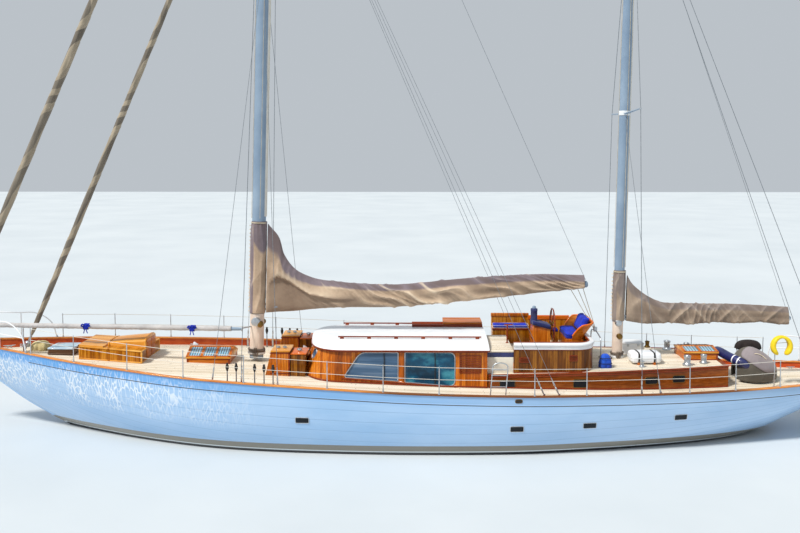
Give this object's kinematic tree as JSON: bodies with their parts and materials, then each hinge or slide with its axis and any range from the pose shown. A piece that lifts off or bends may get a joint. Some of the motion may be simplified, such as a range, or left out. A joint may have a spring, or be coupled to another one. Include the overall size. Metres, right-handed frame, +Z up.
{
  "type": "sailing yacht",
  "caption": "Two-masted wooden sailing yacht afloat with long keel, pilothouse, raised cockpit, covered sails on booms and furled headsails.",
  "frame": {"origin": "on the centreline at the waterline plane, amidships between the waterline ends", "axes": "+X aft, +Y to starboard, +Z up; the bow points along -X"},
  "size_m": [24.55, 5.2786, 25.3091],
  "materials": {
    "topsides": "gloss pale blue-white enamel on planking",
    "antifouling": "matt dark bottom paint",
    "teak": "sun-bleached laid teak with dark seams",
    "varnish": "glossy varnished mahogany and teak",
    "white_paint": "gloss white paint",
    "cover_canvas": "tan woven canvas, weathered",
    "boat_cover": "grey-taupe woven cover",
    "furled_sail": "rolled sailcloth with a taupe sun strip",
    "cushion": "royal blue outdoor fabric",
    "spar_paint": "pale grey-blue spar paint",
    "stainless": "polished stainless steel",
    "bronze": "dull cast bronze",
    "buoy": "yellow coated foam"
  },
  "bodies": {
    "hull": {"hull": "topsides", "ballast_keel": "antifouling", "deck": "teak", "bulwark": "topsides", "cap_rail": "varnish", "pilothouse": "varnish", "pilothouse_roof": "white_paint", "aft_trunk": "varnish", "cockpit_coaming": "varnish", "cockpit_rim": "white_paint", "console": "varnish", "helm_seat": "varnish", "helm_cushion": "cushion", "cockpit_bench": "varnish", "foredeck_box": "varnish", "fore_hatch_frame": "varnish", "fore_skylight": "varnish", "aft_skylight": "varnish", "locker_port": "varnish", "locker_starboard": "varnish", "windlass": "cover_canvas", "main_mast": "spar_paint", "mizzen_mast": "spar_paint", "main_cover_collar": "cover_canvas", "mizzen_cover_collar": "cover_canvas", "main_shroud_port": "stainless", "main_shroud_starboard": "stainless", "mizzen_shroud_port": "stainless", "mizzen_shroud_starboard": "stainless", "mizzen_backstay_port": "stainless", "mizzen_backstay_starboard": "stainless", "jib_furled": "furled_sail", "staysail_furled": "furled_sail", "lifelines_port": "stainless", "lifelines_starboard": "stainless", "pulpit": "white_paint", "pushpit": "white_paint", "foredeck_pole": "cover_canvas", "liferaft": "white_paint", "deck_chest": "white_paint", "winch_port": "stainless", "winch_starboard": "stainless", "covered_tender": "boat_cover", "lifebuoy": "buoy", "boarding_ladder": "stainless"},
    "rudder": {"rudder": "antifouling"},
    "propeller": {"propeller": "bronze"},
    "steering_wheel": {"steering_wheel": "varnish"},
    "main_boom": {"main_boom": "spar_paint", "main_cover": "cover_canvas"},
    "mizzen_boom": {"mizzen_boom": "spar_paint", "mizzen_cover": "cover_canvas"},
    "fore_hatch_lid": {"fore_hatch_lid": "white_paint"},
    "foredeck_lid": {"foredeck_lid": "varnish"},
    "fore_skylight_lid": {"fore_skylight_lid": "varnish"},
    "aft_skylight_lid": {"aft_skylight_lid": "varnish"},
    "locker_lid_port": {"locker_lid_port": "varnish"},
    "locker_lid_starboard": {"locker_lid_starboard": "varnish"},
    "companion_hatch": {"companion_hatch": "varnish"},
    "companion_door": {"companion_door": "varnish"}
  },
  "joints": [
    {"name": "rudder_turn", "type": "hinge", "parent": "hull", "child": "rudder", "pos_m": [6.65, 0, -2.9], "axis": [0.6373, 0, 0.7706], "range_deg": [-35, 35]},
    {"name": "propeller_spin", "type": "hinge", "parent": "hull", "child": "propeller", "pos_m": [7.12, 0, -1.56], "axis": [1, 0, 0], "continuous": true},
    {"name": "wheel_turn", "type": "hinge", "parent": "hull", "child": "steering_wheel", "pos_m": [3.925, 0, 2.802], "axis": [1, 0, 0], "range_deg": [-360, 360]},
    {"name": "main_boom_swing", "type": "hinge", "parent": "hull", "child": "main_boom", "pos_m": [-3.7614, 0, 3.2444], "axis": [0.0297, 0, 0.9996], "range_deg": [-15, 15]},
    {"name": "mizzen_boom_swing", "type": "hinge", "parent": "hull", "child": "mizzen_boom", "pos_m": [5.85804, 0, 2.97695], "axis": [0.0157, 0, 0.9999], "range_deg": [-30, 30]},
    {"name": "fore_hatch_lift", "type": "hinge", "parent": "hull", "child": "fore_hatch_lid", "pos_m": [-8.875, 0, 2.1303], "axis": [0, 1, 0], "range_deg": [0, 100]},
    {"name": "foredeck_lid_lift", "type": "hinge", "parent": "hull", "child": "foredeck_lid", "pos_m": [-8.28, -0.645, 2.28148], "axis": [0.9983, 0, -0.0587], "range_deg": [0, 50]},
    {"name": "fore_skylight_lift", "type": "hinge", "parent": "hull", "child": "fore_skylight_lid", "pos_m": [-5.23, 0.505, 1.9403], "axis": [-1, 0, 0], "range_deg": [0, 45]},
    {"name": "aft_skylight_lift", "type": "hinge", "parent": "hull", "child": "aft_skylight_lid", "pos_m": [7.765, 0.455, 2.1103], "axis": [-1, 0, 0], "range_deg": [0, 45]},
    {"name": "locker_lift_port", "type": "hinge", "parent": "hull", "child": "locker_lid_port", "pos_m": [-2.945, -0.925, 2.3003], "axis": [0, 1, 0], "range_deg": [0, 90]},
    {"name": "locker_lift_starboard", "type": "hinge", "parent": "hull", "child": "locker_lid_starboard", "pos_m": [-2.945, 0.925, 2.3003], "axis": [0, 1, 0], "range_deg": [0, 90]},
    {"name": "companion_hatch_slide", "type": "slide", "parent": "hull", "child": "companion_hatch", "axis": [-1, 0, 0], "range_m": [0, 0.75]},
    {"name": "companion_door_swing", "type": "hinge", "parent": "hull", "child": "companion_door", "pos_m": [2.0047, 1.19, 2.1], "axis": [0, 0, -1], "range_deg": [0, 90]}
  ],
  "couplings": [
    {"joint": "wheel_turn", "follows": "rudder_turn", "ratio": 10.286}
  ]
}
